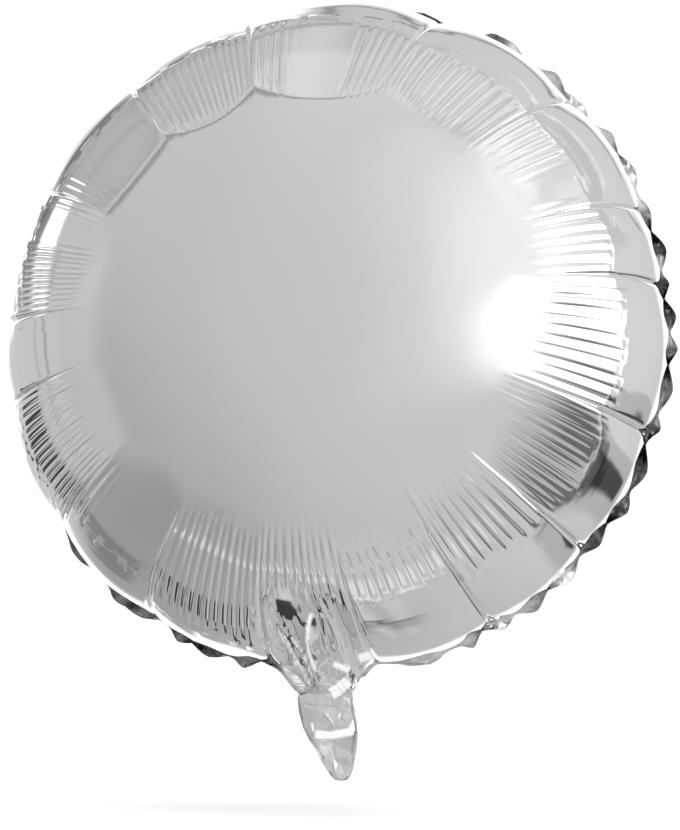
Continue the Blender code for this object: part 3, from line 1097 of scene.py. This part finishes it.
# %% The tail's materials
front_tail_foil = foil_material("front_tail_foil", FRONT_COLOUR, CRUMPLED_FILM)
back_tail_foil = foil_material("back_tail_foil", BACK_COLOUR, CRUMPLED_FILM)
valve_film = new_material("valve_clear_film", {
    "Base Color": (0.88, 0.90, 0.92, 1), "Roughness": 0.35, "Transmission Weight": 0.6, "IOR": 1.45})[0]
finish_tail_piece(front_layer, "tail_front_layer", front_tail_foil)
finish_tail_piece(back_layer, "tail_back_layer", back_tail_foil)
finish_tail_piece(welded_edge, "tail_weld", tail_weld_foil)
finish_tail_piece(valve, "valve_film", valve_film)

# %% [markdown]
# ## The studio
#
# A mirror has no look of its own: it shows the studio. So the studio is built as a sky that depends on
# direction. Panels of cloth and walls could be modelled instead, but a sky renders far quicker, and each
# of its edges can be as soft as the real one. A direction has two angles here: `around`, which runs
# anticlockwise from the right as seen from the front, and `turned`, which is 0 straight in front of the
# balloon and 180 straight behind it. A patch of the sky is a span of each.

# %% Directions in the studio
def span(field, start, full, falling, end):
    """1 between full and falling, 0 outside start and end."""
    return field.rise(start, full) * (1 - field.rise(falling, end))


def stripes(angle, width):
    """A wave along an angle, each of its stripes so many degrees wide."""
    return (angle * (math.pi / width)).sine()


class Sky:
    """The direction that a sky is seen in, as three parts and as two angles in degrees."""

    def __init__(self, tree):
        split = tree.nodes.new("ShaderNodeSeparateXYZ")
        plug(tree, split.inputs["Vector"], add_node(tree, "ShaderNodeTexCoord", "Generated", {}))
        self.right, self.behind, self.up = (Field(tree, socket) for socket in split.outputs)
        self.around = calculate(tree, "ARCTAN2", self.up, self.right) * (180 / math.pi)
        self.turned = calculate(tree, "ARCCOSINE", -self.behind) * (180 / math.pi)
        self.sideways = self.around.size()

    def patch(self, around, turned):
        """1 inside a patch, and 0 outside it. Each span is start, full, falling and end."""
        return span(self.around, *around) * span(self.turned, *turned)

    def patches(self, places):
        """The sum of some patches, each with its own strength."""
        return sum(self.patch(around, turned) * strength for around, turned, strength in places)


# %% [markdown]
# ## The room
#
# In front is a pale grey room with a brighter glow round the soft box at the right. The balloon's outer part
# shows the walls beside it, which are paler at the left, where a window is. All of it changes slowly, so a
# few smooth steps are enough.

# %% The plain room
ROOM_GREY = 0.60
WALL_GREY = 0.56


def plain_room(sky):
    """The room's light in front of the balloon."""
    right, behind, up = sky.right, sky.behind, sky.up
    room = right * 0.04 + up.at_least(0) * 0.09 + ROOM_GREY
    room = room - (right * -0.7 - up * 0.7).rise(0.05, 0.9) * 0.10 - (-right).rise(0.1, 0.45) * 0.045
    near_box = right * 0.692 - behind * 0.707 + up * 0.147
    room = room + near_box.rise(0.60, 0.76) * up.rise(-0.3, 0.1) * 0.07
    room = room + near_box.rise(0.74, 0.96) * up.rise(-0.25, 0.12) * 0.22
    return room + sky.patch((-20, 2, 12, 30), (15, 38, 60, 76)) * 0.42


def add_walls(sky, room):
    """Blend from the room to the walls beside the balloon."""
    corner = span(sky.around, -154, -144, -128, -116) * sky.turned.rise(42, 62)
    pale_left = sky.sideways.rise(150, 163) * sky.turned.rise(48, 66)
    room = room - corner * 0.09 + pale_left * 0.12
    walls = sky.right * 0.16 + sky.up * 0.06 + WALL_GREY + pale_left * 0.20 - corner * 0.05
    return room + (walls - room) * (sky.behind - sky.right * 0.2).rise(-0.04, 0.06)


# %% [markdown]
# ## What stands in the room
#
# The dark lines in the ripples and round the rim are doors, posts and stands that stand beside the balloon,
# far round to its side. A ripple turns a mirror through some 30 degrees, so one narrow post shows once in
# every ripple. Each thing is one or two patches, read as: span of `around`, span of `turned`, strength.

# %% Lamps and dark things
LAMPS = (
    ((-96, -88, -72, -66), (68, 73, 80, 86), 0.22),
    ((55, 57, 59, 61), (54, 60, 90, 97), 0.286),
    ((44, 47, 51, 54), (62, 70, 92, 97), 0.396),
    ((30, 36, 50, 56), (50, 60, 95, 98), 0.11),
    ((28, 34, 62, 68), (97, 98, 99, 100), 0.242),
    ((28, 34, 62, 68), (112.5, 113.5, 115, 116), 0.242),
)
DARK_THINGS = {
    "beam": (((92, 97, 148, 154), (64, 67, 71, 73), 0.40),),
    "rail": (((70, 85, 108, 116), (102, 103.5, 105, 107), 0.25),),
    "plinth": (
        ((-155, -151, -141, -137), (98, 101, 104, 107), 0.34),
        ((-155, -151, -141, -137), (109, 113, 120, 124), 0.34)),
    "foot": (((-34, -31, -15, -12), (101.5, 103, 108, 110), 0.55),),
    "stand": (((-30.5, -28, -20.5, -18.5), (104, 107, 141, 146), 0.85),),
    "shade": (((18, 28, 50, 60), (100, 104, 112, 118), 0.15),),
    "door": (
        ((-122, -120, -113, -111), (92, 94, 110, 112), 0.9),
        ((-112.5, -111, -105.5, -104), (110, 112, 127, 131), 0.9)),
    "kerb": (
        ((-94, -90, -80, -72), (100, 101.3, 102.3, 103.3), 0.52),
        ((-94, -90, -80, -72), (101, 102.5, 106, 111), 0.34)),
    "post": (
        ((-176, -174.5, -166, -163), (98, 101, 121, 125), 0.9),
        ((153, 155, 167, 170), (105, 107, 118, 121), 0.40)),
}


def add_stripes(sky, room):
    """Folds of cloth above, sills and blinds at the left, and slats and a shelf at the dark lower right."""
    around, turned = sky.around, sky.turned
    folds = stripes(around, 6) * sky.patch((34, 45, 112, 135), (60, 75, 98, 104))
    blinds = stripes(turned, 4) * sky.patch((118, 124, 148, 154), (72, 78, 96, 102))
    sills = span(turned, 88, 89, 90, 91) * 0.35 + span(turned, 96, 97, 98, 99) * 0.2
    room = room * (1 + folds * 0.15) * (1 - sills * sky.sideways.rise(160, 168)) * (1 + blinds * 0.06)
    dark = span(around, -46, -36, -12, -9) * (0.76 - turned.rise(100, 110) * 0.50) * turned.rise(44, 78)
    slats = stripes(around, 8).rise(-0.3, 0.6) * (1 - turned.rise(98, 102))
    room = room * (1 - dark * (1 - slats * 0.72))
    return room + sky.patch((-28, -26, -12, -10), (97, 98.5, 100, 101.5)) * 0.35


def add_strips(sky, room):
    """A lit hatch below, and the dark and light strips under the balloon."""
    room = room + sky.patch((-126, -120, -92, -88), (64, 65.5, 67, 68.5)) * 0.28
    strips = sky.patch((-134, -128, -84, -76), (48, 58, 108, 118))
    tone = stripes(sky.around, 4.5) * 0.25 + stripes(sky.around, 11) * 0.17
    return room * (1 + strips * tone)


# %% [markdown]
# ## The white sweep, the soft box and the window
#
# Behind the balloon a white sweep of paper fills the view. It makes the white line round the rim. Where it
# begins depends on the side, and a dark line runs along its edge at the top. The soft box and the window are
# the brightest things, so they are laid over all the rest.

# %% The studio as a sky
WHITE_SWEEP = 1.2
SOFT_BOX = 2.2
WINDOW = 1.6


def lay_over(light, patch, brightness):
    """Replace the light inside a patch."""
    return light * (1 - patch) + patch * brightness


def studio_world():
    """Put the sky together, from the room to the brightest things."""
    world = bpy.data.worlds.new("studio")
    bpy.context.scene.world = world
    world.use_nodes = True
    tree = world.node_tree
    sky = Sky(tree)
    room = add_walls(sky, plain_room(sky)) + sky.patches(LAMPS)
    room = add_stripes(sky, room)
    for places in DARK_THINGS.values():
        room = room * (1 - sky.patches(places))
    room = room * (1 - span(sky.around, 112, 122, 156, 166) * sky.turned.rise(96, 112) * 0.20)
    room = add_strips(sky, room)

    start = 0.78 - (sky.up - sky.right) * 0.15
    start = start - span(sky.around, 90, 113, 160, 172) * 0.15
    start = start - span(sky.around, -136, -128, -118, -111) * 0.14
    past_start = sky.behind - start
    line = span(past_start, -0.09, -0.07, -0.05, -0.03) * span(sky.around, 34, 42, 150, 165)
    light = lay_over(room * (1 - line * 0.5), past_start.rise(-0.03, 0.08), WHITE_SWEEP)
    light = lay_over(light, sky.patch((-10, -6.5, 24, 28), (52, 58, 100, 102)), SOFT_BOX)
    window = span(sky.sideways, 151, 153, 160, 164) * span(sky.turned, 93, 95, 104, 106)
    light = lay_over(light, window * sky.up.rise(0, 0.1), WINDOW)
    background = tree.nodes["Background"]
    plug(tree, background.inputs["Strength"], light)
    background.inputs["Color"].default_value = (1, 1, 1, 1)
    print("studio:", len(LAMPS), "lamps and", ", ".join(DARK_THINGS))


studio_world()

# %% [markdown]
# ## Floor and lights
#
# The floor is plain and pale. The mirror doesn't show it, since the sky already holds all that the foil
# reflects. Two very soft lights give the floor and the dull film an even light from above and in front.

# %% The floor
FLOOR_HEIGHT = -0.245
FLOOR_SIZE = 30


def add_floor():
    """A wide pale square under the balloon's tail."""
    shape = bmesh.new()
    bmesh.ops.create_grid(shape, x_segments=1, y_segments=1, size=FLOOR_SIZE)
    bmesh.ops.translate(shape, verts=shape.verts, vec=(0, 0, FLOOR_HEIGHT))
    floor = finish_shape(shape, "studio_floor")
    material = new_material("pale_floor", {"Base Color": (0.92, 0.92, 0.92, 1), "Roughness": 0.6})[0]
    floor.data.materials.append(material)
    floor.visible_glossy = False


add_floor()


# %% The lights
def add_soft_light(name, direction, spread, strength):
    """Even light from one side of the studio, so soft that its shadow has no edge."""
    data = bpy.data.lights.new(name, "SUN")
    data.angle = spread
    data.energy = strength
    lamp = add_object(name, data)
    lamp.rotation_euler = Vector(direction).to_track_quat("Z", "Y").to_euler()
    lamp.visible_glossy = False


add_soft_light("overhead_soft_light", (0.3, 0.1, 1.0), math.radians(100), 1.8)
add_soft_light("front_soft_light", (0.2, -1.0, 0.35), math.radians(60), 1.2)

# %% Colours as a plain photograph shows them
bpy.context.scene.view_settings.view_transform = "Standard"
